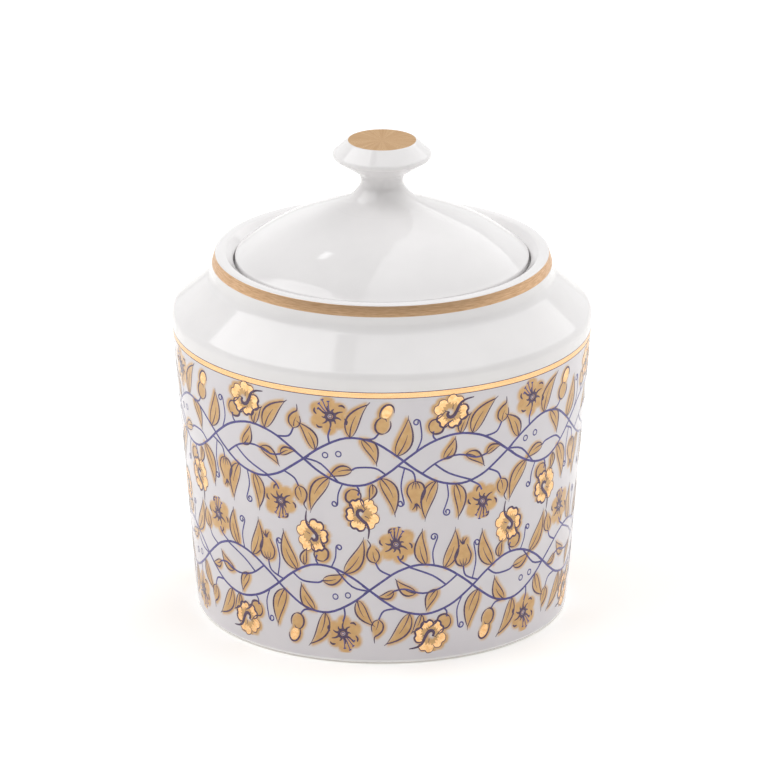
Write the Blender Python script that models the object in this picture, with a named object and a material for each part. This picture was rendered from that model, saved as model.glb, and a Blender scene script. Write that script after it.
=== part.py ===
# Sugar bowl: porcelain body, loose domed lid, and the knob luted on the lid.
# Sizes are in millimetres, and MM turns them to metres. Each height is a step up or down from the one before.
import math

import bmesh
import bpy

MM = 0.001

# body, outside
base_radius = 42.4
shoulder_radius = 48.1
shoulder_height = 71.0
shoulder_round = 2.5
slope_rise = 7.9         # from the shoulder's corner up to the neck's
neck_round = 7.8
band_radius = 38.8
neck_rise = 3.15         # straight part under the lip's gilded band
lip_rise = 2.6
lip_lean = 0.75          # how much the band leans in
lip_round = 0.55
lip_width = 3.75
lip_flat = 2.2           # crest, before it dips to the seat
lip_dip = 1.65

# body, inside and underneath
wall_thickness = 3.0
floor_thickness = 3.2
floor_round = 7.0
foot_width = 3.4
foot_recess = 1.4
foot_round = 1.3

# lid seat inside the lip
seat_depth = 3.45
seat_thickness = 3.2
ledge_width = 3.4

# lid
edge_play = 0.8          # round the lid's edge
flange_play = 0.8        # round the flange that centres the lid
touch_gap = 0.3          # between pieces that rest on each other
edge_thickness = 2.3
edge_round = 0.6
dome_rise = 13.5
crown_radius = 7.5
lid_thickness = 2.9
flange_depth = 6.5
flange_thickness = 2.5

# knob
knob_rise = 13.85        # above the lid's crown
knob_radius = 11.75      # corner of the widest part, before rounding
knob_round = 0.9
knob_bevel = 3.45        # from the widest part up to the flat top
knob_top_radius = 7.9
foot_margin = 0.35       # the knob's foot inside the crown's edge
waist_radius = 3.6       # corner of the waist, before rounding
waist_rise = 5.0
waist_round = 2.8

glaze_round = 0.4        # small corners, softened by the glaze
segments = 64

lip_height = shoulder_height + slope_rise + neck_rise + lip_rise
lip_radius = band_radius - lip_lean
seat_radius = lip_radius - lip_width
seat_height = lip_height - seat_depth
mouth_radius = seat_radius - ledge_width
lid_bottom = seat_height + touch_gap
edge_height = lid_bottom + edge_thickness
crown_height = edge_height + dome_rise

# line of the lid's dome, as shares of the way in from its edge and up to its crown
dome_line = [(0.0, 0.0), (0.11, 0.17), (0.24, 0.341), (0.4, 0.515), (0.6, 0.682), (0.8, 0.837), (1.0, 1.0)]


def meet(p, d, q, e):
    """Where the line through p along d crosses the line through q along e."""
    cross = d[0] * e[1] - d[1] * e[0]
    t = ((q[0] - p[0]) * e[1] - (q[1] - p[1]) * e[0]) / cross
    return p[0] + d[0] * t, p[1] + d[1] * t


def toward(p, q):
    length = math.dist(p, q)
    return (q[0] - p[0]) / length, (q[1] - p[1]) / length


def rounded(corners):
    """Outline of (radius, height, rounding) corners, each rounding an arc no longer than its sides allow."""
    outline = []
    for i, (r, z, rounding) in enumerate(corners):
        if rounding == 0:
            outline.append((r, z))
            continue
        before, after = corners[i - 1], corners[i + 1]
        back = toward((r, z), before[:2])
        ahead = toward((r, z), after[:2])
        opening = math.acos(back[0] * ahead[0] + back[1] * ahead[1])
        room = min(math.dist((r, z), side[:2]) / (2 if side[2] else 1) for side in (before, after))
        reach = min(rounding / math.tan(opening / 2), room)
        radius = reach * math.tan(opening / 2)
        way = toward((0, 0), (back[0] + ahead[0], back[1] + ahead[1]))
        middle = radius / math.sin(opening / 2)
        centre = (r + way[0] * middle, z + way[1] * middle)
        first = (r + back[0] * reach, z + back[1] * reach)
        start = math.atan2(first[1] - centre[1], first[0] - centre[0])
        turn = math.pi - opening
        if back[0] * ahead[1] - back[1] * ahead[0] > 0:
            turn = -turn
        steps = max(2, round(abs(turn) / math.radians(22)))
        for k in range(steps + 1):
            a = start + turn * k / steps
            outline.append((centre[0] + radius * math.cos(a), centre[1] + radius * math.sin(a)))
    return outline


def smooth(points, steps=2):
    """Curve through the points."""
    ends = [points[0], *points, points[-1]]
    curve = []
    for a, b, c, d in zip(ends, ends[1:], ends[2:], ends[3:]):
        for k in range(steps):
            t = k / steps
            curve.append(tuple(
                0.5 * (2 * q + (r - p) * t + (2 * p - 5 * q + 4 * r - s) * t ** 2
                       + (3 * q - p - 3 * r + s) * t ** 3)
                for p, q, r, s in zip(a, b, c, d)))
    return curve + [points[-1]]


def turned(name, outline, material):
    """Solid of revolution of an outline that starts and ends on the axis."""
    mesh = bmesh.new()
    points = [mesh.verts.new((r * MM, 0, z * MM)) for r, z in outline]
    edges = [mesh.edges.new(pair) for pair in zip(points, points[1:])]
    bmesh.ops.spin(mesh, geom=points + edges, cent=(0, 0, 0), axis=(0, 0, 1),
                   angle=2 * math.pi, steps=segments, use_merge=True)
    bmesh.ops.remove_doubles(mesh, verts=mesh.verts, dist=0.001 * MM)
    bmesh.ops.recalc_face_normals(mesh, faces=mesh.faces)
    for face in mesh.faces:
        face.smooth = True
    data = bpy.data.meshes.new(name)
    mesh.to_mesh(data)
    mesh.free()
    data.set_sharp_from_angle(angle=math.radians(35))
    piece = bpy.data.objects.new(name, data)
    bpy.context.scene.collection.objects.link(piece)
    data.materials.append(material)
    return piece


def glazed(name, colour):
    material = bpy.data.materials.new(name)
    material.use_nodes = True
    shader = material.node_tree.nodes["Principled BSDF"]
    shader.inputs["Base Color"].default_value = (*colour, 1)
    shader.inputs["Roughness"].default_value = 0.12
    shader.inputs["Metallic"].default_value = 0
    shader.inputs["Coat Weight"].default_value = 0.6
    material.diffuse_color = (*colour, 1)
    return material


def make_bowl():
    base = (base_radius, 0)
    shoulder = (shoulder_radius, shoulder_height)
    neck = (band_radius, shoulder_height + slope_rise)
    up = toward(base, shoulder)
    slope = toward(shoulder, neck)
    level = (1, 0)
    # lines of the inner wall and the inner shoulder, one wall in from the outer ones
    wall_line = (base[0] - up[1] * wall_thickness, base[1] + up[0] * wall_thickness)
    slope_line = (neck[0] - slope[1] * wall_thickness, neck[1] + slope[0] * wall_thickness)
    floor = foot_recess + floor_thickness
    under_seat = seat_height - seat_thickness
    foot_inside = base_radius - foot_round - foot_width
    return turned("bowl", rounded([
        (0, foot_recess, 0),
        (foot_inside - foot_recess, foot_recess, glaze_round),
        (foot_inside, 0, glaze_round),
        (*base, foot_round),
        (*shoulder, shoulder_round),
        (*neck, neck_round),
        (band_radius, neck[1] + neck_rise, 0),
        (lip_radius, lip_height, lip_round),
        (lip_radius - lip_flat, lip_height, lip_flat / 2),
        (seat_radius, lip_height - lip_dip, glaze_round),
        (seat_radius, seat_height, glaze_round),
        (mouth_radius, seat_height, glaze_round),
        (mouth_radius, under_seat, glaze_round),
        (*meet(slope_line, slope, (0, under_seat), level), wall_thickness),
        (*meet(wall_line, up, slope_line, slope), wall_thickness),
        (*meet(wall_line, up, (0, floor), level), floor_round),
        (0, floor, 0),
    ]), glazed("bowl_porcelain", (0.86, 0.86, 0.87)))


def make_lid():
    rim = seat_radius - edge_play
    flange = mouth_radius - flange_play
    bore = flange - flange_thickness
    low = lid_bottom - flange_depth
    roof = crown_height - lid_thickness
    dome = [(rim - (rim - crown_radius) * across, edge_height + dome_rise * up) for across, up in dome_line]
    hollow = [(r, z - lid_thickness) for r, z in dome[:-1] if r < bore - glaze_round]
    return turned("lid", [
        (0, roof),
        *reversed(smooth([*hollow, (crown_radius - lid_thickness, roof)])),
        *rounded([
            (*hollow[0], 0),
            (bore, lid_bottom, flange_thickness / 2),
            (bore, low, glaze_round),
            (flange, low, glaze_round),
            (flange, lid_bottom, glaze_round),
            (rim, lid_bottom, glaze_round),
            (rim, edge_height, edge_round),
            (*dome[1], 0),
        ])[1:-1],
        *smooth(dome)[2:],
        (0, crown_height),
    ], glazed("lid_porcelain", (0.86, 0.86, 0.87)))


def make_knob():
    foot = crown_height + touch_gap
    top = crown_height + knob_rise
    return turned("lid_knob", rounded([
        (0, foot, 0),
        (crown_radius - foot_margin, foot, 0),
        (waist_radius, crown_height + waist_rise, waist_round),
        (knob_radius, top - knob_bevel, knob_round),
        (knob_top_radius, top, glaze_round),
        (0, top, 0),
    ]), glazed("knob_porcelain", (0.86, 0.86, 0.87)))


for left in list(bpy.data.objects):
    bpy.data.objects.remove(left, do_unlink=True)

make_bowl()
make_lid()
make_knob()
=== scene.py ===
import math

import bpy
import numpy as np
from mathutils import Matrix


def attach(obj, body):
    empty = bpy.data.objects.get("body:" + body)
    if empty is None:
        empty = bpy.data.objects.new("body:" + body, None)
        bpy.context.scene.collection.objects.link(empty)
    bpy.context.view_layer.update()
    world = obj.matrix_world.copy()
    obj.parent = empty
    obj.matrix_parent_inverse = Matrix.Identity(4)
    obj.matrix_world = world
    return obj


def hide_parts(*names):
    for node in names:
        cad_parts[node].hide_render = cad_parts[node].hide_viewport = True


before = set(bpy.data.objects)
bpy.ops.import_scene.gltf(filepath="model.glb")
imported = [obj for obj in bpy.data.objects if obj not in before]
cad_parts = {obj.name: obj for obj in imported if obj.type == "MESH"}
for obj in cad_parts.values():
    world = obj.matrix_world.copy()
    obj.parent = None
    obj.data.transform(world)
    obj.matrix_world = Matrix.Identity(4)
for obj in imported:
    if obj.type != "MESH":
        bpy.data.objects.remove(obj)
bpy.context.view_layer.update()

mm = 0.001
print("CAD frame loaded:", ", ".join(sorted(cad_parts)))


def hexColour(code):
    # sRGB hex to the linear values that a shader wants
    channels = [int(code[i:i + 2], 16) / 255 for i in (1, 3, 5)]
    return [c / 12.92 if c <= 0.04045 else ((c + 0.055) / 1.055) ** 2.4 for c in channels] + [1.0]


def addNode(tree, kind, inputs=None, **settings):
    node = tree.nodes.new(kind)
    for name, value in settings.items():
        setattr(node, name, value)
    for socket, value in (inputs or {}).items():
        if isinstance(value, bpy.types.NodeSocket):
            tree.links.new(value, node.inputs[socket])
        else:
            node.inputs[socket].default_value = value
    return node


def newMaterial(name):
    material = bpy.data.materials.new(name)
    material.use_nodes = True
    tree = material.node_tree
    tree.nodes.clear()
    shader = addNode(tree, "ShaderNodeBsdfPrincipled")
    addNode(tree, "ShaderNodeOutputMaterial", {"Surface": shader.outputs["BSDF"]})
    place = addNode(tree, "ShaderNodeTexCoord").outputs["Object"]
    return material, tree, shader, place


def perMillimetre(size):
    # a noise scale whose lumps are that many millimetres across
    return 1 / (size * mm)


glaze = {
    "white": "#EAE8E8",          # hard-paste body under clear glaze, a cool white
    "whiteDeep": "#E6E4E4",      # where the glaze lies a little thicker
    "wallShadeGrey": "#DAD6D9",    # the same body on the upright wall, painted a shade greyer: painted shade, as the wall faces sideways and gets less of the overhead light
    "wallShadeGreyDeep": "#D5D1D5",
    "cloudSize": 16.0,           # mm, soft unevenness of the body's colour
    "roughness": (0.05, 0.085),
    "ior": 1.52,
    "orangePeelSize": 3.2,       # mm, the slow waves that a fired glaze keeps
    "orangePeelDepth": 0.010,    # mm
}


def glazeGround(tree, place, light, deep):
    # the cloudy body colour, shared by the wall and by the film of ochre printed on it
    cloud = addNode(tree, "ShaderNodeTexNoise", {"Vector": place, "Scale": perMillimetre(glaze["cloudSize"]),
                                                 "Detail": 3.0, "Roughness": 0.55})
    share = addNode(tree, "ShaderNodeMapRange", {"Value": cloud.outputs["Fac"],
                                                 "From Min": 0.35, "From Max": 0.65})
    mix = addNode(tree, "ShaderNodeMix", data_type="RGBA",
                  inputs={"Factor": share.outputs["Result"], 6: hexColour(light), 7: hexColour(deep)})
    return mix.outputs[2]


def glazeSurface(tree, shader, place):
    # slow waves in the glaze, in its height and in its gloss
    wave = addNode(tree, "ShaderNodeTexNoise",
                   {"Vector": place, "Scale": perMillimetre(glaze["orangePeelSize"]),
                                                "Detail": 2.0, "Roughness": 0.45})
    smoothest, roughest = glaze["roughness"]
    gloss = addNode(tree, "ShaderNodeMapRange", {"Value": wave.outputs["Fac"], "From Min": 0.3, "From Max": 0.7,
                                                 "To Min": smoothest, "To Max": roughest})
    bump = addNode(tree, "ShaderNodeBump", {"Height": wave.outputs["Fac"], "Strength": 0.25,
                                            "Distance": glaze["orangePeelDepth"] * mm})
    tree.links.new(gloss.outputs["Result"], shader.inputs["Roughness"])
    tree.links.new(bump.outputs["Normal"], shader.inputs["Normal"])
    shader.inputs["IOR"].default_value = glaze["ior"]


def glazedPorcelain(name, light, deep):
    # hard-paste porcelain dipped in clear glaze and fired: white, glassy, with sharp soft-edged reflections
    material, tree, shader, place = newMaterial(name)
    tree.links.new(glazeGround(tree, place, light, deep), shader.inputs["Base Color"])
    glazeSurface(tree, shader, place)
    return material


bisque = {
    "light": "#E6E2DA",
    "deep": "#D3CDC3",
    "grainSize": 0.35,           # mm
    "grainDepth": 0.02,          # mm
    "roughness": 0.72,
}


def bisquePorcelain():
    # unglazed body, ground smooth where it stood in the kiln: matt, faintly grainy, a warmer white
    material, tree, shader, place = newMaterial("bisque_foot_ground_porcelain")
    grain = addNode(tree, "ShaderNodeTexNoise", {"Vector": place, "Scale": perMillimetre(bisque["grainSize"]),
                                                 "Detail": 4.0})
    ramp = addNode(tree, "ShaderNodeMapRange", {"Value": grain.outputs["Fac"],
                                                "From Min": 0.3, "From Max": 0.7})
    mix = addNode(tree, "ShaderNodeMix", data_type="RGBA", inputs={
        "Factor": ramp.outputs["Result"], 6: hexColour(bisque["light"]), 7: hexColour(bisque["deep"])})
    bump = addNode(tree, "ShaderNodeBump", {"Height": grain.outputs["Fac"], "Strength": 0.4,
                                            "Distance": bisque["grainDepth"] * mm})
    tree.links.new(mix.outputs[2], shader.inputs["Base Color"])
    tree.links.new(bump.outputs["Normal"], shader.inputs["Normal"])
    shader.inputs["Roughness"].default_value = bisque["roughness"]
    return material


gilding = {
    "ringRadius": 42.0,          # mm, about where the gilded rings lie, so that a streak has its true length
    "brushDepth": 0.006,         # mm
}


def firedGold(name, light, deep, rough, streakAround, streakAcross, grit):
    # bright or burnished gold fired onto the glaze: thin metal, brushed along the ring it was painted on
    material, tree, shader, place = newMaterial(name)
    axes = addNode(tree, "ShaderNodeSeparateXYZ", {"Vector": place})
    turn = addNode(tree, "ShaderNodeMath", {0: axes.outputs["Y"], 1: axes.outputs["X"]}, operation="ARCTAN2")
    around = addNode(tree, "ShaderNodeMath", {0: turn.outputs[0], 1: gilding["ringRadius"] / streakAround},
                     operation="MULTIPLY")
    across = addNode(tree, "ShaderNodeMath", {0: axes.outputs["Z"], 1: perMillimetre(streakAcross)},
                     operation="MULTIPLY")
    painted = addNode(tree, "ShaderNodeCombineXYZ", {"X": around.outputs[0], "Y": across.outputs[0]})
    streak = addNode(tree, "ShaderNodeTexNoise", {"Vector": painted.outputs[0], "Scale": 1.0, "Detail": 3.0})
    dust = addNode(tree, "ShaderNodeTexNoise", {"Vector": place, "Scale": perMillimetre(grit), "Detail": 2.0})
    share = addNode(tree, "ShaderNodeMapRange", {"Value": streak.outputs["Fac"],
                                                 "From Min": 0.32, "From Max": 0.68})
    colour = addNode(tree, "ShaderNodeMix", data_type="RGBA",
                     inputs={"Factor": share.outputs["Result"], 6: hexColour(light), 7: hexColour(deep)})
    both = addNode(tree, "ShaderNodeMath", {0: streak.outputs["Fac"], 1: dust.outputs["Fac"]},
                   operation="ADD")
    gloss = addNode(tree, "ShaderNodeMapRange", {"Value": both.outputs[0], "From Min": 0.7, "From Max": 1.3,
                                                 "To Min": rough[0], "To Max": rough[1]})
    bump = addNode(tree, "ShaderNodeBump", {"Height": both.outputs[0], "Strength": 0.3,
                                            "Distance": gilding["brushDepth"] * mm})
    tree.links.new(colour.outputs[2], shader.inputs["Base Color"])
    tree.links.new(gloss.outputs["Result"], shader.inputs["Roughness"])
    tree.links.new(bump.outputs["Normal"], shader.inputs["Normal"])
    shader.inputs["Metallic"].default_value = 1.0
    return material


def firedInk(name, light, deep, patchSize, roughness):
    # screen-printed ceramic colour under a cover coat: dense, uneven from the screen, as glossy as the glaze
    material, tree, shader, place = newMaterial(name)
    patch = addNode(tree, "ShaderNodeTexNoise", {"Vector": place, "Scale": perMillimetre(patchSize),
                                                 "Detail": 3.0})
    share = addNode(tree, "ShaderNodeMapRange", {"Value": patch.outputs["Fac"],
                                                 "From Min": 0.35, "From Max": 0.65})
    colour = addNode(tree, "ShaderNodeMix", data_type="RGBA",
                     inputs={"Factor": share.outputs["Result"], 6: hexColour(light), 7: hexColour(deep)})
    tree.links.new(colour.outputs[2], shader.inputs["Base Color"])
    shader.inputs["Roughness"].default_value = roughness
    shader.inputs["IOR"].default_value = glaze["ior"]
    return material


ochre = {
    "light": "#D6AC74",
    "deep": "#CC9F66",
    "patchSize": 1.6,     # mm
}


def ochreWash():
    # matt gold-ochre colour printed as a flat tint: its edge bleeds softly into the porcelain round it
    material, tree, shader, place = newMaterial("ochre_wash_printed_tint")
    # the porcelain round the tint is the wall's greyer colour, painted shade
    ground = glazeGround(tree, place, glaze["wallShadeGrey"], glaze["wallShadeGreyDeep"])
    patch = addNode(tree, "ShaderNodeTexNoise", {"Vector": place, "Scale": perMillimetre(ochre["patchSize"]),
                                                 "Detail": 3.0})
    share = addNode(tree, "ShaderNodeMapRange", {"Value": patch.outputs["Fac"],
                                                 "From Min": 0.35, "From Max": 0.65})
    tint = addNode(tree, "ShaderNodeMix", data_type="RGBA", inputs={
        "Factor": share.outputs["Result"], 6: hexColour(ochre["light"]), 7: hexColour(ochre["deep"])})
    amount = addNode(tree, "ShaderNodeAttribute", attribute_name="wash")
    mix = addNode(tree, "ShaderNodeMix", data_type="RGBA",
                  inputs={"Factor": amount.outputs["Fac"], 6: ground, 7: tint.outputs[2]})
    tree.links.new(mix.outputs[2], shader.inputs["Base Color"])
    glazeSurface(tree, shader, place)
    return material


finishes = {
    "glaze": glazedPorcelain("glazed_hard_paste_porcelain", glaze["white"], glaze["whiteDeep"]),
    # a greyer copy of the glazed porcelain for the upright wall: painted shade
    "ground": glazedPorcelain("porcelain_painted_wall_shade", glaze["wallShadeGrey"], glaze["wallShadeGreyDeep"]),
    "bisque": bisquePorcelain(),
    "lipGold": firedGold("burnished_gold_lip", "#E2BE98", "#C8A07A", (0.34, 0.50), 3.0, 0.22, 0.4),
    "lineGold": firedGold("bright_gold_line", "#FBCF9C", "#F2C08A", (0.20, 0.32), 6.0, 0.3, 0.5),
    "discGold": firedGold("satin_gold_knob_disc", "#D8AE78", "#C89A62", (0.26, 0.38), 2.0, 1.2, 0.5),
    "petalGold": firedGold("bright_gold_petals", "#FFD6A2", "#F0BC80", (0.20, 0.36), 1.1, 0.9, 0.3),
    "cobalt": firedInk("cobalt_violet_ink", "#565091", "#46417C", 1.2, 0.12),
    "outline": firedInk("brown_violet_outline_ink", "#5B4660", "#463350", 0.8, 0.14),
    "ochre": ochreWash(),
}
print("finishes made:", len(finishes))


def clearSelection():
    if bpy.context.mode != "OBJECT":
        bpy.ops.object.mode_set(mode="OBJECT")
    bpy.ops.object.select_all(action="DESELECT")


def curveThrough(points, perSpan=6):
    # a smooth line through the points, for domes and for the drawn scroll alike
    ends = [points[0], *points, points[-1]]
    line = []
    for a, b, c, d in zip(ends, ends[1:], ends[2:], ends[3:]):
        for k in range(perSpan):
            t = k / perSpan
            line.append(tuple(0.5 * (2 * q + (r - p) * t + (2 * p - 5 * q + 4 * r - s) * t * t
                                     + (3 * q - p - 3 * r + s) * t ** 3) for p, q, r, s in zip(a, b, c, d)))
    return line + [points[-1]]


def cornerReach(before, corner, after, rounding):
    # how far along both sides a corner's rounding starts
    a = math.atan2(corner[1] - before[1], corner[0] - before[0])
    b = math.atan2(after[1] - corner[1], after[0] - corner[0])
    turn = abs((b - a + math.pi) % math.tau - math.pi)
    sides = min(math.dist(before[:2], corner[:2]), math.dist(corner[:2], after[:2]))
    return min(rounding * math.tan(turn / 2), 0.46 * sides), max(2, round(math.degrees(turn) / 9))


def turnedPiece(name, outline, steps):
    # half the section, drawn point by point in the XZ plane, its corners rounded, then spun round the axis
    clearSelection()
    bpy.ops.mesh.primitive_plane_add(size=mm, location=(0, 0, 0))
    piece = bpy.context.active_object
    piece.name = piece.data.name = name
    bpy.ops.object.mode_set(mode="EDIT")
    bpy.ops.mesh.merge(type="CENTER")
    bpy.ops.transform.translate(value=(outline[0][0] * mm, 0, outline[0][1] * mm))
    for here, there in zip(outline, outline[1:]):
        step = ((there[0] - here[0]) * mm, 0, (there[1] - here[1]) * mm)
        bpy.ops.mesh.extrude_vertices_move(TRANSFORM_OT_translate={"value": step})
    bpy.ops.mesh.select_mode(type="VERT")
    for before, corner, after in zip(outline, outline[1:], outline[2:]):
        if not corner[2]:
            continue
        reach, segments = cornerReach(before, corner, after, corner[2])
        selectNear(piece, corner)
        bpy.ops.mesh.bevel(affect="VERTICES", offset_type="ABSOLUTE", offset=reach * mm, segments=segments)
    bpy.ops.mesh.select_all(action="SELECT")
    bpy.ops.mesh.spin(steps=steps, angle=math.tau, center=(0, 0, 0), axis=(0, 0, 1))
    bpy.ops.mesh.select_all(action="SELECT")
    bpy.ops.mesh.remove_doubles(threshold=0.002 * mm)      # closes the seam and the two poles
    bpy.ops.mesh.normals_make_consistent(inside=False)
    bpy.ops.object.mode_set(mode="OBJECT")
    return piece


def selectNear(piece, corner):
    bpy.ops.mesh.select_all(action="DESELECT")
    bpy.ops.object.mode_set(mode="OBJECT")
    nearest = min(piece.data.vertices,
                  key=lambda v: math.dist(v.co, (corner[0] * mm, 0, corner[1] * mm)))
    nearest.select = True
    bpy.ops.object.mode_set(mode="EDIT")


def cutLevel(piece, height):
    # an edge all round at that height, where one finish stops and the next starts
    bpy.ops.object.mode_set(mode="EDIT")
    bpy.ops.mesh.select_all(action="SELECT")
    bpy.ops.mesh.bisect(plane_co=(0, 0, height * mm), plane_no=(0, 0, 1))
    bpy.ops.object.mode_set(mode="OBJECT")


def giveFinish(piece, finish, where=None):
    # the finish goes on the faces whose middle lies in one of the (radius, height) windows, or on every face
    piece.data.materials.append(finishes[finish])
    if where is None:
        return
    slot = len(piece.data.materials) - 1
    for face in piece.data.polygons:
        x, y, z = face.center
        radius, height = math.hypot(x, y) / mm, z / mm
        if any(r0 <= radius <= r1 and h0 <= height <= h1 for r0, r1, h0, h1 in where):
            face.material_index = slot


def polish(piece, angle=35):
    # smooth shading that the large faces lead, so that long walls stay true beside their small roundings
    clearSelection()
    piece.select_set(True)
    bpy.context.view_layer.objects.active = piece
    bpy.ops.object.shade_smooth_by_angle(angle=math.radians(angle))
    bpy.ops.object.modifier_add(type="WEIGHTED_NORMAL")
    piece.modifiers[-1].keep_sharp = True
    bpy.ops.object.modifier_apply(modifier=piece.modifiers[-1].name)


bowl = {
    "steps": 288,
    "baseRadius": 42.4,
    "footRecess": 1.4,        # how far the base lies above what it stands on
    "footInside": 37.7,
    "shoulderRadius": 48.1,
    "shoulderHeight": 71.0,
    "neckRadius": 38.8,
    "neckHeight": 78.9,
    "lipRadius": 38.05,
    "lipHeight": 84.65,
    "crest": 2.2,             # rounded top of the lip, before it slopes in to the seat
    "slopeEnd": 83.0,
    "seatRadius": 33.95,
    "seatHeight": 81.2,       # the lid rests here
    "mouthRadius": 30.9,
    "underSeat": 78.0,
    "floorHeight": 4.6,
    "lineLow": 65.9,          # the gold line on the wall, just under the shoulder
    "lineHigh": 67.3,
    "gildedFrom": 82.05,
    "gildedTo": 84.42,        # the gilding ends on the rounding of the lip
}


def wallRadius(height):
    # the outer wall is a straight cone from the foot to the shoulder
    spread = (bowl["shoulderRadius"] - bowl["baseRadius"]) / bowl["shoulderHeight"]
    return bowl["baseRadius"] + spread * height


def makeBowl():
    recess, under, seat = bowl["footRecess"], bowl["underSeat"], bowl["seatHeight"]
    outline = [
        (0, recess, 0), (bowl["footInside"] - recess, recess, 0.4), (bowl["footInside"], 0, 0.4),
        (bowl["baseRadius"], 0, 1.3), (bowl["shoulderRadius"], bowl["shoulderHeight"], 2.5),
        (bowl["neckRadius"], bowl["neckHeight"], 7.8), (bowl["neckRadius"], bowl["gildedFrom"], 0),
        (bowl["lipRadius"], bowl["lipHeight"], 0.55),
        (bowl["lipRadius"] - bowl["crest"], bowl["lipHeight"], 1.1),
        (bowl["seatRadius"], bowl["slopeEnd"], 0.4), (bowl["seatRadius"], seat, 0.4),
        (bowl["mouthRadius"], seat, 0.4), (bowl["mouthRadius"], under, 0.4),
        (35.4, under, 3.0), (44.95, 69.78, 3.0),                             # inner shoulder, one wall in
        (39.76, bowl["floorHeight"], 7.0), (0, bowl["floorHeight"], 0),
    ]
    piece = turnedPiece("bowl_porcelain", outline, bowl["steps"])
    for height in (bowl["lineLow"], bowl["lineHigh"], bowl["gildedTo"]):
        cutLevel(piece, height)
    giveFinish(piece, "glaze")
    outside = bowl["shoulderRadius"] + 1
    # the wall below the gold line gets the greyer copy: painted shade on the side that faces away from the
    # overhead lights
    giveFinish(piece, "ground", [(bowl["baseRadius"] - 0.9, outside, 0.9, bowl["lineLow"])])
    giveFinish(piece, "lineGold", [(bowl["shoulderRadius"] - 1.6, outside, bowl["lineLow"],
                                    bowl["lineHigh"])])
    giveFinish(piece, "lipGold", [(bowl["lipRadius"] - 0.65, outside, bowl["gildedFrom"], bowl["gildedTo"])])
    giveFinish(piece, "bisque", [(bowl["footInside"] - 0.4, bowl["baseRadius"] - 0.4, -0.1, 0.25)])
    polish(piece)
    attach(piece, "bowl")
    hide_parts("bowl")
    return piece


lid = {
    "steps": 256,
    "crown": (7.5, 97.3),     # radius and height of the flat that the knob is luted on
    "dome": [(12.7, 95.1), (17.9, 93.0), (23.1, 90.75), (27.26, 88.4), (30.64, 86.1)],
    "edge": (33.5, 83.8),
    "wall": 2.9,
    "underside": 81.5,
    "flangeRadius": 30.1,     # the flange centres the lid in the bowl's mouth
    "flangeBore": 27.6,
    "flangeBottom": 75.0,
    "hollow": (6, 27),        # radii between which the hollow follows the dome
}
domeLine = curveThrough([lid["crown"], *lid["dome"], lid["edge"]], 5)


def domeHeight(radius):
    return float(np.interp(radius, [r for r, h in domeLine], [h for r, h in domeLine]))


def makeLid():
    crownHeight, edgeRadius = lid["crown"][1], lid["edge"][0]
    under, low, flange, bore = lid["underside"], lid["flangeBottom"], lid["flangeRadius"], lid["flangeBore"]
    inner, outer = lid["hollow"]
    outline = [(0, crownHeight, 0)] + [(r, h, 0) for r, h in domeLine[:-1]]
    outline += [(*lid["edge"], 0.5), (edgeRadius, under, 0.6), (flange, under, 0.3)]
    outline += [(flange, low, 0.7), (bore, low, 0.7), (bore, under, 0.8)]
    outline += [(r, h - lid["wall"], 0) for r, h in reversed(domeLine) if inner < r < outer]
    outline += [(0, crownHeight - lid["wall"], 0)]
    piece = turnedPiece("lid_porcelain", outline, lid["steps"])
    giveFinish(piece, "glaze")
    # the ledge that it stood on in the kiln
    giveFinish(piece, "bisque", [(flange + 0.3, edgeRadius - 0.4, under - 0.2, under + 0.2)])
    polish(piece)
    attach(piece, "lid")
    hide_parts("lid")
    return piece


knob = {
    "steps": 192,
    "footRadius": 10.8,      # the slip that joins it to the lid runs out here, level with the dome
    "footRise": 0.012,       # that much above the dome, so that the two glazes don't share a surface
    "hiddenBase": 95.0,      # inside the lid's porcelain
    "flareRadius": 7.33,
    "waist": (3.6, 102.3),   # corner of the waist before it is rounded
    "widest": (11.75, 107.7),
    "topRadius": 7.9,
    "discRadius": 7.62,      # gilding stops just inside the top's edge
    "topHeight": 111.15,
}


def makeKnob():
    foot, flare, base, top = knob["footRadius"], knob["flareRadius"], knob["hiddenBase"], knob["topHeight"]
    level = domeHeight(foot) + knob["footRise"]
    fall = domeHeight(foot - 0.5) - domeHeight(foot + 0.5)       # of the dome, for each millimetre outwards
    outline = [
        (0, base, 0), (foot, base, 0), (foot, level, 0), (flare, level + fall * (foot - flare), 10.0),
        (*knob["waist"], 2.8), (*knob["widest"], 0.9), (knob["topRadius"], top, 0.4), (0, top, 0),
    ]
    piece = turnedPiece("knob_porcelain", outline, knob["steps"])
    giveFinish(piece, "glaze")
    giveFinish(piece, "discGold", [(0, knob["discRadius"], top - 0.05, top + 0.05)])
    polish(piece)
    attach(piece, "lid")
    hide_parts("lid_knob")
    return piece


makeBowl()
makeLid()
makeKnob()
print("porcelain turned: bowl, lid and knob")


# the printed scroll is drawn flat in millimetres as one repeat of a band, then copied round the wall

scroll = {
    "repeats": 6,
    "sheetRadius": 45.2,      # mm, where on the cone the drawing keeps its true width
    "stem": 0.52,             # mm, line widths
    "twig": 0.42,
    "tendril": 0.34,
    "outline": 0.34,
    "horn": 0.80,
    "edging": 0.15,
    "upperBand": 33.2,        # mm, height of the upper band's lower edge
    "lowerBand": 35.2,        # mm, height of the lower band's upper edge, for it hangs upside down
    "stretch": 1.07,          # height on the wall for each millimetre of height in the drawing
    "lowerTurn": 15.4,        # mm, how far the lower band is turned on from the upper one
    "startAngle": -112.8,     # degrees, where the first repeat begins
}
repeatWidth = math.tau * scroll["sheetRadius"] / scroll["repeats"]
drawing = {"cobalt": [], "outline": [], "gold": [], "wash": [], "edging": []}


def placed(points, place):
    x, y, angle, size = place
    c, s = math.cos(math.radians(angle)) * size, math.sin(math.radians(angle)) * size
    return [(x + px * c - py * s, y + px * s + py * c) for px, py in points]


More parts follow.
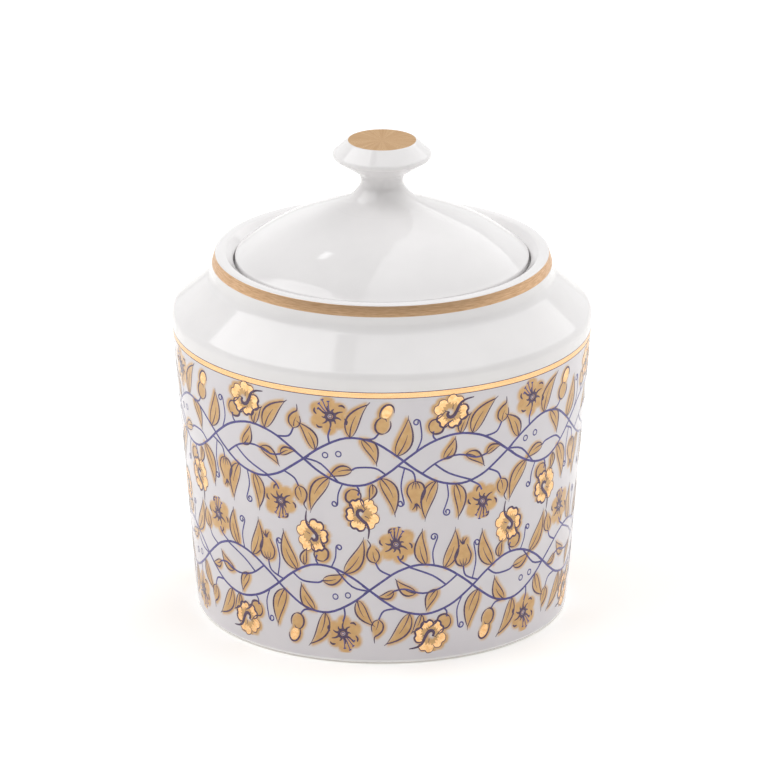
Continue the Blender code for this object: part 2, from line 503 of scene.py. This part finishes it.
def penLine(ink, points, width, swell="even"):
    # a pen line: of one width, swelling in its middle, or running out to a point
    shapes = {
        "even": lambda t: 1.0,
        "both": lambda t: 0.3 + 0.7 * math.sin(math.pi * t) ** 0.7,
        "end": lambda t: 1.0 - 0.78 * t ** 1.4,
        "horn": lambda t: 0.22 + 0.78 * math.sin(math.pi * min(1, 0.14 + 0.86 * t)) ** 0.8,
    }
    last = len(points) - 1
    drawing[ink].append((points, [width * shapes[swell](k / last) for k in range(last + 1)]))


def oval(x, y, rx, ry, count=16):
    return [(x + rx * math.cos(math.tau * k / count),
             y + ry * math.sin(math.tau * k / count)) for k in range(count)]


def drawLeaf(place, length, width, bend, heavy=1):
    # grows along +x from its stalk; bend curls its tip to one side
    axis, over, under = [], [], []
    for k in range(11):
        t = k / 10
        x, y = length * t, bend * length * (1.6 * (t - t * t) - 0.35 * t ** 3)
        half = width / 2 * math.sin(math.pi * t ** 0.82) ** 0.85 * (1.08 - 0.3 * t)
        axis.append((x, y))
        over.append((x, y + half))
        under.append((x, y - half * 0.9))
    tip = (axis[-1][0] + length * 0.09, axis[-1][1] - bend * length * 0.14)
    drawing["wash"].append(placed(over + under[-2:0:-1], place))
    penLine("outline", placed(over + [tip], place), scroll["outline"] * (1.25 if heavy > 0 else 0.85), "both")
    penLine("outline", placed(under[:-1] + [axis[-1]], place),
            scroll["outline"] * (0.85 if heavy > 0 else 1.25), "both")
    penLine("outline", placed(axis[:7], place), scroll["outline"] * 0.95, "end")


def drawBlossom(place):
    # the large flower: an ochre tube behind five lobes with gilded tips, and one long dark pistil
    tube = [(-1.7, 0.8), (-1.5, 3.4), (-2.3, 5.2), (-1.5, 6.9), (0.1, 7.5), (1.6, 6.8), (2.2, 5.2),
            (1.4, 3.4), (1.7, 0.8)]
    drawing["wash"].append(placed(curveThrough(tube, 4), place))
    penLine("outline", placed(curveThrough(tube[:5], 4), place), scroll["outline"] * 1.5, "both")
    penLine("outline", placed(curveThrough(tube[4:], 4), place), scroll["outline"], "both")
    edge = [(1.3, -1.0), (2.6, -2.15), (3.9, -2.25), (4.75, -1.3), (4.55, -0.15), (5.0, 0.75), (4.4, 2.0),
            (2.9, 2.2), (1.3, 1.0)]
    streaks = [(2.5, 1.75), (2.9, 1.2), (2.2, 0.95), (3.0, 0.55), (2.3, 0.15), (3.2, -0.3), (2.3, -0.75),
               (2.9, -1.15), (2.4, -1.75)]
    for k, size in enumerate((1.04, 0.9, 0.84, 0.96, 1.08)):
        turn = (0, 0, 72 * k + 18, size)
        lobe = placed(placed([(x, y * 0.97) for x, y in curveThrough(edge, 4)], turn), place)
        drawing["wash"].append(lobe)
        tipOfLobe = curveThrough(edge[1:-1], 4) + streaks
        drawing["gold"].append(placed(placed(tipOfLobe, turn), place))
        penLine("outline", lobe[3:-3], scroll["outline"] * (1.5 if k in (1, 2, 3) else 0.6), "both")
        penLine("outline", placed(placed([(1.2, 0.1), (1.8, 0.25), (2.5, 0.15)], turn), place), 0.22, "end")
    horn = [(1.0, 0.2), (0.5, 1.1), (-0.5, 1.0), (-0.9, -0.1), (-0.3, -1.7), (0.5, -3.4), (0.4, -5.2),
            (-0.8, -7.4)]
    penLine("outline", placed(curveThrough(horn, 4), place), scroll["horn"], "horn")


def drawStar(place, stamens=90):
    # the small open flower: soft ochre petals, a dark eye with rays and a tuft of dotted stamens
    petal = [(0.9, -0.8), (2.6, -1.7), (4.2, -1.0), (4.5, 0.3), (3.4, 1.5), (1.0, 0.9)]
    tick = [(3.1, 1.3), (3.95, 0.9), (4.2, 0.1)]
    for k in range(6):
        turn = (0, 0, 60 * k + 12, 1)
        drawing["wash"].append(placed(placed(curveThrough(petal + petal[:1], 3), turn), place))
        if k % 3 != 1:
            penLine("outline", placed(placed(curveThrough(tick, 3), turn), place),
                    scroll["outline"] * 1.3, "both")
    penLine("outline", placed(oval(0, 0, 1.05, 0.95) + [(1.05, 0)], place), 0.72)
    penLine("cobalt", placed(oval(0, 0, 0.42, 0.36, 8) + [(0.42, 0)], place), 0.2)
    for k in range(9):
        reach = (3.3, 2.1, 2.7)[k % 3]
        ray = [(1.0, 0), ((1 + reach) / 2, 0.22), (reach, -0.05)]
        penLine("outline", placed(placed(curveThrough(ray, 3), (0, 0, 40 * k + 5, 1)), place), 0.58, "end")
    for turn, reach in ((-18, 3.6), (0, 4.3), (17, 3.9), (34, 3.3)):
        bar = (0, 0, stamens + turn, 1)
        penLine("cobalt", placed(placed([(1.0, 0), (2.2, 0.1), (reach, 0)], bar), place), 0.24)
        penLine("cobalt", placed(placed([(reach, 0), (reach + 0.3, 0)], bar), place), 0.66)


def drawPod(place):
    # a pear-shaped seed pod with a dark tuft at its mouth
    body = [(0, 0), (0.7, 1.5), (2.4, 2.15), (4.0, 1.6), (5.2, 0.95), (6.6, 0.85), (7.0, 0), (6.5, -0.8),
            (5.2, -0.85), (4.0, -1.4), (2.4, -2.0), (0.7, -1.4)]
    drawing["wash"].append(placed(curveThrough(body + body[:1], 3), place))
    penLine("outline", placed(curveThrough(body[:5], 4), place), scroll["outline"] * 1.5, "both")
    penLine("outline", placed(curveThrough([body[0], *body[:7:-1]], 4), place), scroll["outline"], "both")
    for y in (-0.7, 0.05, 0.8):
        penLine("outline", placed(curveThrough([(0.3, y * 0.4), (1.1, y), (1.9, y * 1.2)], 3), place),
                0.26, "end")
    for turn in (-32, 4, 38):
        penLine("outline", placed(placed([(0, 0), (0.8, 0.15), (1.7, 0)], (5.3, 0, turn, 1)), place), 0.5,
                "end")


def drawTwinBud(place):
    # two buds on one stalk, the outer one gilded
    drawing["wash"].append(placed(oval(2.1, 0, 2.1, 1.75), place))
    drawing["wash"].append(placed(oval(5.3, 0.4, 2.2, 1.5), place))
    drawing["gold"].append(placed(oval(5.6, 0.5, 1.75, 1.1), place))
    near, far = oval(2.1, 0, 2.15, 1.8, 20), oval(5.3, 0.4, 2.25, 1.55, 20)
    penLine("outline", placed(near[2:13], place), scroll["outline"] * 1.4, "both")
    penLine("outline", placed(near[12:19], place), scroll["outline"], "both")
    penLine("outline", placed(far[16:] + far[:9], place), scroll["outline"] * 1.3, "both")
    penLine("outline", placed([(3.4, -0.4), (3.9, 0.1), (3.7, 0.9)], place), 0.3, "both")


def drawBud(place):
    body = [(0, 0), (0.7, 1.1), (2.0, 1.4), (3.2, 0.8), (4.1, 0), (3.1, -0.8), (1.9, -1.25), (0.7, -0.95)]
    drawing["wash"].append(placed(curveThrough(body + body[:1], 3), place))
    penLine("outline", placed(curveThrough(body[:5] + [(5.4, 0.35)], 4), place), scroll["outline"] * 1.2,
            "both")
    penLine("outline", placed(curveThrough([body[0], *body[:4:-1]], 4), place), scroll["outline"] * 0.9,
            "both")
    penLine("outline", placed([(0.4, 0), (1.5, 0.1), (2.5, -0.1)], place), 0.27, "end")


def drawTendril(points, turns, radius, way):
    # a thread that ends in a curl; way is 1 for a curl to its left and -1 to its right
    thread = curveThrough(points, 5)
    (x0, y0), (x1, y1) = thread[-2:]
    heading = math.atan2(y1 - y0, x1 - x0)
    cx, cy = x1 - way * radius * math.sin(heading), y1 + way * radius * math.cos(heading)
    start = math.atan2(y1 - cy, x1 - cx)
    count = round(turns * 14)
    for k in range(1, count + 1):
        angle, reach = start + way * math.tau * turns * k / count, radius * (1 - 0.6 * k / count)
        thread.append((cx + reach * math.cos(angle), cy + reach * math.sin(angle)))
    penLine("cobalt", thread, scroll["tendril"])
    end = thread[-1]
    penLine("cobalt", [end, (end[0] + 0.25, end[1])], 0.6)


def drawStems():
    # two vines that cross twice in each repeat, and the twigs that leave them
    w = repeatWidth
    low = [(-2, 17.3), (0, 15.9), (4.2, 12.9), (9.2, 10.7), (14.2, 10.7), (19, 13.2), (23.6, 16.8),
           (28.6, 20.0), (34.4, 21.5), (40, 20.5), (44.2, 18.2), (w, 15.9), (w + 2, 14.5)]
    high = [(-2, 14.0), (0, 15.4), (4.6, 18.8), (10.2, 21.3), (15.8, 20.7), (20.6, 17.8), (25.2, 14.2),
            (30.4, 11.0), (36, 9.9), (41, 11.2), (44.8, 13.6), (w, 15.4), (w + 1.6, 16.5)]
    penLine("cobalt", curveThrough(low, 4), scroll["stem"])
    penLine("cobalt", curveThrough(high, 4), scroll["stem"])
    twigs = [
        [(18.8, 13.1), (16.4, 14.6), (12.6, 14.6), (11.4, 14.0)],                 # inside the first lens
        [(26.9, 13.1), (30.6, 15.6), (35.2, 16.6), (39.4, 15.4), (42.0, 15.8)],   # inside the second one
        [(29.6, 15.1), (33.0, 12.6), (38.6, 10.3)],
        [(0.6, 15.8), (4.4, 14.9), (8.2, 11.1)],
        [(6.4, 19.9), (6.2, 21.6), (6.7, 23.2)],
        [(14.0, 21.2), (16.2, 21.4), (17.4, 22.8)],
        [(29.8, 20.6), (29.2, 21.4), (29.2, 22.6)],
        [(12.2, 10.6), (12.9, 9.4), (12.6, 8.2)],
        [(21.4, 15.1), (24.7, 13.6), (25.4, 11.2)],
        [(38.2, 10.2), (40.4, 8.9), (41.2, 7.6)],
        [(41.4, 19.9), (44.3, 20.4), (45.5, 22.4)],
        [(42.6, 12.2), (45.2, 10.9), (46.2, 9.2)],
    ]
    for twig in twigs:
        penLine("cobalt", curveThrough(twig, 4), scroll["twig"])


def drawRepeat():
    drawStems()
    for x, y in ((5.4, 17.0), (8.4, 17.5)):                # the little paired rings inside the first lens
        penLine("cobalt", oval(x, y, 0.62, 0.62, 12) + [(x + 0.62, y)], 0.30)
    drawBlossom((13.2, 3.9, 22, 0.80))
    drawBlossom((33.2, 26.3, 128, 0.80))
    drawStar((6.8, 26.0, 20, 0.92), 95)
    drawStar((41.6, 4.9, 150, 0.90), 110)
    drawPod((25.4, 11.4, -88, 0.98))
    drawTwinBud((17.4, 22.6, 66, 0.92))
    drawBud((45.5, 22.4, 76, 1.05))
    drawBud((46.2, 9.2, -74, 1.05))
    leaves = [
        (3.2, 18.0, 118, 6.8, 2.8, -0.24), (11.0, 21.4, 68, 8.6, 3.2, 0.24),
        (21.2, 17.3, 70, 8.8, 3.5, -0.20), (38.2, 21.1, 56, 8.8, 3.4, 0.20),
        (35.4, 21.5, 66, 4.6, 2.1, 0.20), (6.2, 11.9, -124, 9.0, 3.3, -0.22),
        (17.6, 12.3, -64, 8.8, 3.3, 0.22), (30.2, 11.2, -110, 8.8, 3.3, -0.20),
        (34.6, 10.0, -78, 7.8, 2.9, 0.22), (13.6, 21.2, -56, 6.4, 2.8, 0.24),
        (11.4, 14.0, 196, 5.4, 2.4, -0.20), (31.8, 15.9, 58, 5.2, 2.4, -0.22),
        (36.8, 16.5, -30, 5.6, 2.4, 0.24), (42.0, 15.8, 24, 3.8, 1.8, 0.22),
        (15.8, 10.9, -96, 3.8, 1.8, 0.24),
    ]
    for x, y, angle, length, width, bend in leaves:
        drawLeaf((x, y, angle, 1), length, width, bend, bend)
    drawTendril([(25.4, 18.1), (26.6, 21.2), (26.2, 25.0)], 1.1, 0.8, 1)
    drawTendril([(32.6, 10.3), (33.0, 7.2), (32.0, 4.0)], 1.1, 0.9, 1)
    drawTendril([(9.2, 10.7), (8.2, 8.4), (8.0, 6.0)], 1.0, 0.75, -1)
    drawTendril([(22.9, 14.4), (22.2, 10.4), (22.9, 6.6)], 1.1, 0.8, -1)


drawRepeat()


def drawEdging():
    # thin dark lines along both edges of the gold line
    steps = 60
    across = [repeatWidth * k / steps for k in range(steps + 1)]
    for height in (bowl["lineLow"], bowl["lineHigh"]):
        y = (height - scroll["upperBand"]) / scroll["stretch"]
        penLine("edging", [(x, y) for x in across], scroll["edging"])


transfer = {
    "washPitch": 0.45,        # mm, grid of the ochre film
    "washFringe": 0.75,       # mm, how far the tint bleeds past its drawn shape
    "washShift": (-0.42, 0.16),       # mm, the tint was printed a little out of register with its outlines
    "washLayer": 0.012,       # mm above the wall: the layers lie over each other as they were printed
    "cobaltLayer": 0.018,
    "goldLayer": 0.030,
    "outlineLayer": 0.036,
    "washThickness": 0.020,
    "goldThickness": 0.022,
    "washSpan": (0.9, 30.4),  # mm, lowest and highest place in the drawing that can hold a tint
    "petalStrip": 1.5,        # mm, width of the strips that let a gold petal lie round the wall
    "inkRelief": 0.12,        # height of a pen line's ridge as a share of its half width
}


def sheetToWall(flat, name, finish, layer, bands=("upper", "lower")):
    # one copy of the flat drawing for each repeat of each band, laid on the cone of the wall and joined
    copies = []
    for band in bands:
        for k in range(scroll["repeats"]):
            sheet = flat.copy()
            sheet.data = flat.data.copy()
            bpy.context.scene.collection.objects.link(sheet)
            points = np.empty(len(sheet.data.vertices) * 3)
            sheet.data.vertices.foreach_get("co", points)
            x, y, z = points.reshape(-1, 3).T / mm
            if band == "upper":
                along, height = x + k * repeatWidth, scroll["upperBand"] + scroll["stretch"] * y
            else:
                along = (k + 1) * repeatWidth - x + scroll["lowerTurn"]
                height = scroll["lowerBand"] - scroll["stretch"] * y
            angle = math.radians(scroll["startAngle"]) + along / scroll["sheetRadius"]
            radius = wallRadius(height) + layer + z
            wrapped = np.stack([radius * np.cos(angle), radius * np.sin(angle), height], axis=1) * mm
            sheet.data.vertices.foreach_set("co", wrapped.ravel())
            copies.append(sheet)
    bpy.data.objects.remove(flat)
    clearSelection()
    for sheet in copies:
        sheet.select_set(True)
    piece = copies[0]
    bpy.context.view_layer.objects.active = piece
    bpy.ops.object.join()
    piece.name = piece.data.name = name
    piece.data.materials.clear()
    piece.data.materials.append(finishes[finish])
    bpy.ops.object.mode_set(mode="EDIT")
    bpy.ops.mesh.select_all(action="SELECT")
    bpy.ops.mesh.remove_doubles(threshold=0.001 * mm)
    bpy.ops.object.mode_set(mode="OBJECT")
    return piece


def inkLines(name, lines):
    # each pen line is a thin tube that follows its width, flattened to a low ridge of ink
    sheet = bpy.data.curves.new(name, "CURVE")
    sheet.dimensions = "3D"
    sheet.bevel_depth = 0.5 * mm          # so that a point's radius is the line's width in millimetres
    sheet.bevel_resolution = 0
    sheet.use_fill_caps = True
    for points, widths in lines:
        spline = sheet.splines.new("POLY")
        spline.points.add(len(points) - 1)
        for point, (x, y), width in zip(spline.points, points, widths):
            point.co = (x * mm, y * mm, 0, 1)
            point.radius = width
    ink = bpy.data.objects.new(name, sheet)
    bpy.context.scene.collection.objects.link(ink)
    clearSelection()
    ink.select_set(True)
    bpy.context.view_layer.objects.active = ink
    bpy.ops.object.convert(target="MESH")
    ink = bpy.context.active_object
    bpy.ops.object.mode_set(mode="EDIT")
    bpy.ops.mesh.select_all(action="SELECT")
    bpy.ops.mesh.remove_doubles(threshold=0.001 * mm)
    bpy.ops.mesh.normals_make_consistent(inside=False)
    bpy.ops.transform.resize(value=(1, 1, transfer["inkRelief"]), center_override=(0, 0, 0))
    bpy.ops.object.mode_set(mode="OBJECT")
    return ink


def makeLines(name, key, finish, layer, bands=("upper", "lower")):
    piece = sheetToWall(inkLines(name, drawing[key]), name, finish, layer, bands)
    finishPrint(piece)
    print(name, "laid on the wall,", len(piece.data.polygons), "faces")


def finishPrint(piece):
    clearSelection()
    piece.select_set(True)
    bpy.context.view_layer.objects.active = piece
    bpy.ops.object.shade_smooth_by_angle(angle=math.radians(30))
    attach(piece, "bowl")


def thicken(piece, thickness):
    # the film gets its own thickness inwards, so that it is closed
    clearSelection()
    piece.select_set(True)
    bpy.context.view_layer.objects.active = piece
    bpy.ops.object.modifier_add(type="SOLIDIFY")
    piece.modifiers[-1].thickness = thickness * mm
    piece.modifiers[-1].offset = -1
    bpy.ops.object.modifier_apply(modifier=piece.modifiers[-1].name)


def makeGoldPetals():
    # the gilded lobe tips, cut into strips narrow enough to lie round the wall
    outlines = bpy.data.meshes.new("gold_petals")
    points, faces = [], []
    for shape in drawing["gold"]:
        faces.append(range(len(points), len(points) + len(shape)))
        points += [(x * mm, y * mm, 0) for x, y in shape]
    outlines.from_pydata(points, [], faces)
    flat = bpy.data.objects.new("gold_petals", outlines)
    bpy.context.scene.collection.objects.link(flat)
    clearSelection()
    flat.select_set(True)
    bpy.context.view_layer.objects.active = flat
    bpy.ops.object.mode_set(mode="EDIT")
    bpy.ops.mesh.select_all(action="SELECT")
    bpy.ops.mesh.quads_convert_to_tris()
    for k in range(1, int(repeatWidth / transfer["petalStrip"])):
        bpy.ops.mesh.select_all(action="SELECT")
        bpy.ops.mesh.bisect(plane_co=(k * transfer["petalStrip"] * mm, 0, 0), plane_no=(1, 0, 0))
    bpy.ops.object.mode_set(mode="OBJECT")
    for face in outlines.polygons:
        if face.normal.z < 0:
            face.flip()
    piece = sheetToWall(flat, "transfer_gold_petals", "petalGold", transfer["goldLayer"])
    thicken(piece, transfer["goldThickness"])
    finishPrint(piece)
    print("gold petals laid on the wall,", len(piece.data.polygons), "faces")


def insideAndNear(shape, x, y):
    # for each point: whether it is inside the outline, and how far it is from its edge
    inside = np.zeros(len(x), bool)
    nearest = np.full(len(x), 1e9)
    for (x0, y0), (x1, y1) in zip(shape, shape[1:] + shape[:1]):
        crosses = (y0 > y) != (y1 > y)
        where = (x1 - x0) * (y - y0) / ((y1 - y0) or 1e-9) + x0
        inside ^= crosses & (x < where)
        dx, dy = x1 - x0, y1 - y0
        t = np.clip(((x - x0) * dx + (y - y0) * dy) / ((dx * dx + dy * dy) or 1e-9), 0, 1)
        nearest = np.minimum(nearest, np.hypot(x - x0 - t * dx, y - y0 - t * dy))
    return inside, nearest


def makeOchreWash():
    # the film that carries the tint: a fine grid, kept only where there is colour, with its strength stored
    low, high = transfer["washSpan"]
    clearSelection()
    bpy.ops.mesh.primitive_grid_add(x_subdivisions=round(repeatWidth / transfer["washPitch"]),
                                    y_subdivisions=round((high - low) / transfer["washPitch"]),
                                    size=1, location=(0.5, 0.5, 0))
    flat = bpy.context.active_object
    bpy.ops.object.transform_apply(location=True)
    bpy.ops.object.mode_set(mode="EDIT")
    bpy.ops.mesh.select_all(action="SELECT")
    bpy.ops.transform.resize(value=(repeatWidth * mm, (high - low) * mm, 1), center_override=(0, 0, 0))
    bpy.ops.transform.translate(value=(0, low * mm, 0))
    bpy.ops.object.mode_set(mode="OBJECT")
    points = np.empty(len(flat.data.vertices) * 3)
    flat.data.vertices.foreach_get("co", points)
    x, y, _ = points.reshape(-1, 3).T / mm
    strength = np.zeros(len(x))
    fringe = transfer["washFringe"]
    for shape in drawing["wash"]:
        for turn in (-repeatWidth, 0, repeatWidth):
            moved = [(px + transfer["washShift"][0] + turn, py + transfer["washShift"][1])
                     for px, py in shape]
            lows, highs = np.min(moved, axis=0) - fringe, np.max(moved, axis=0) + fringe
            near = np.flatnonzero((x > lows[0]) & (x < highs[0]) & (y > lows[1]) & (y < highs[1]))
            if not len(near):
                continue
            inside, distance = insideAndNear(moved, x[near], y[near])
            fade = np.clip(1 - distance / fringe, 0, 1)
            fade = np.where(inside, 1, fade * fade * (3 - 2 * fade))
            strength[near] = np.maximum(strength[near], fade)
    flat.data.attributes.new("wash", "FLOAT", "POINT").data.foreach_set("value", strength)
    bpy.ops.object.mode_set(mode="EDIT")
    bpy.ops.mesh.select_all(action="DESELECT")
    bpy.ops.mesh.select_mode(type="FACE")
    bpy.ops.object.mode_set(mode="OBJECT")
    for face in flat.data.polygons:
        face.select = max(strength[v] for v in face.vertices) < 0.004
    bpy.ops.object.mode_set(mode="EDIT")
    bpy.ops.mesh.delete(type="FACE")
    bpy.ops.object.mode_set(mode="OBJECT")
    piece = sheetToWall(flat, "transfer_ochre_wash", "ochre", transfer["washLayer"])
    thicken(piece, transfer["washThickness"])
    finishPrint(piece)
    print("ochre wash laid on the wall,", len(piece.data.polygons), "faces")


drawEdging()
makeOchreWash()
makeLines("transfer_cobalt_lines", "cobalt", "cobalt", transfer["cobaltLayer"])
makeLines("transfer_outlines", "outline", "outline", transfer["outlineLayer"])
makeLines("transfer_line_edging", "edging", "outline", transfer["cobaltLayer"], bands=("upper",))
makeGoldPetals()

studio = {
    "floorSize": 8.0,            # m
    "floorColour": "#FFFEFC",
    "floorShade": "#F6F5F3",
    "fibreSize": 4,              # mm
    "floorGlow": 0.165,          # lit from inside like a light table, so shadows stay faint
    "backWall": 1.05,            # brightness of the white wall behind
    "frontRoom": 0.36,           # and of the room on the camera's side
    "ceiling": 0.5,              # brightness overhead as a share of that at eye level
}

softBoxes = {
    "right_overhead_box": {"place": (0.95, 0.57, 1.08), "target": (0.95, 0.57, 0),
                           "width": 1.58, "height": 3.1, "power": 16.9, "turn": -19.3},
    "left_overhead_box": {"place": (-1.02, -0.02, 1.08), "target": (-1.02, -0.02, 0),
                          "width": 0.9, "height": 1.7, "power": 11.2, "turn": 40.3},
    "small_lamp": {"place": (-0.41, 0.50, 1.09), "target": (0, 0, 0.08),
                   "width": 0.12, "height": 0.08, "power": 0.1},
}


def makeStage():
    clearSelection()
    bpy.ops.mesh.primitive_plane_add(size=studio["floorSize"], location=(0, 0, 0))
    floor = bpy.context.active_object
    floor.name = "floor"
    material, tree, shader, place = newMaterial("white_paper_sweep")
    fibre = addNode(tree, "ShaderNodeTexNoise", {"Vector": place, "Scale": perMillimetre(studio["fibreSize"]),
                                                  "Detail": 3.0})
    shade = addNode(tree, "ShaderNodeMapRange", {"Value": fibre.outputs["Fac"],
                                                 "To Min": 0.94, "To Max": 0.98})
    tint = addNode(tree, "ShaderNodeMix", data_type="RGBA", inputs={
        "Factor": shade.outputs["Result"],
        6: hexColour(studio["floorShade"]), 7: hexColour(studio["floorColour"])})
    tree.links.new(tint.outputs[2], shader.inputs["Base Color"])
    shader.inputs["Roughness"].default_value = 0.8
    shader.inputs["Emission Color"].default_value = hexColour(studio["floorColour"])
    shader.inputs["Emission Strength"].default_value = studio["floorGlow"]
    floor.data.materials.append(material)


def softBox(name, place, target, width, height, power, turn=0):
    # a diffuser panel that faces its target; turn is its heading when it hangs flat overhead
    clearSelection()
    bpy.ops.object.light_add(type="AREA", location=place)
    lamp = bpy.context.active_object
    lamp.name = name
    lamp.data.shape = "RECTANGLE"
    lamp.data.size = width
    lamp.data.size_y = height
    lamp.data.energy = power
    way = [t - p for p, t in zip(place, target)]
    level = math.hypot(way[0], way[1])
    heading = math.atan2(way[1], way[0]) - math.pi / 2 if level else math.radians(turn)
    lamp.rotation_euler = (math.atan2(level, -way[2]), 0, heading)
    return lamp


def makeLights():
    world = bpy.data.worlds.new("studio_air")
    bpy.context.scene.world = world
    world.use_nodes = True
    tree = world.node_tree
    skyward = addNode(tree, "ShaderNodeTexCoord").outputs["Generated"]
    axes = addNode(tree, "ShaderNodeSeparateXYZ", {"Vector": skyward})
    depth = addNode(tree, "ShaderNodeMapRange", {"Value": axes.outputs["Y"],
                                                 "From Min": -0.6, "From Max": 0.6,
                                                 "To Min": studio["frontRoom"], "To Max": studio["backWall"]})
    rise = addNode(tree, "ShaderNodeMapRange", {"Value": axes.outputs["Z"],
                                                "From Min": 0.25, "From Max": 0.65,
                                                "To Min": 1.0, "To Max": studio["ceiling"]})
    glow = addNode(tree, "ShaderNodeMath", {0: depth.outputs[0], 1: rise.outputs[0]}, operation="MULTIPLY")
    tree.nodes["Background"].inputs["Color"].default_value = hexColour("#FFFFFF")
    tree.links.new(glow.outputs[0], tree.nodes["Background"].inputs["Strength"])
    for name, settings in softBoxes.items():
        softBox(name, **settings)


view = {
    "target": (0, 0, 0.0523),
    "distance": 2.062,
    "elevation": 19.74,
    "lens": 421.9,
    "sensor": 36.0,
    "shiftX": -0.002,
}


def makeCamera():
    clearSelection()
    tilt = math.radians(view["elevation"])
    x, y, z = view["target"]
    place = (x, y - view["distance"] * math.cos(tilt), z + view["distance"] * math.sin(tilt))
    bpy.ops.object.camera_add(location=place, rotation=(math.pi / 2 - tilt, 0, 0))
    camera = bpy.context.active_object
    camera.name = "camera"
    camera.data.lens = view["lens"]
    camera.data.sensor_width = view["sensor"]
    camera.data.shift_x = view["shiftX"]
    camera.data.clip_start = 0.05
    bpy.context.scene.camera = camera


makeStage()
makeLights()
makeCamera()
bpy.context.scene.view_settings.view_transform = "Standard"
bpy.context.scene.view_settings.look = "None"
print("stage, lights and camera set")

clearSelection()
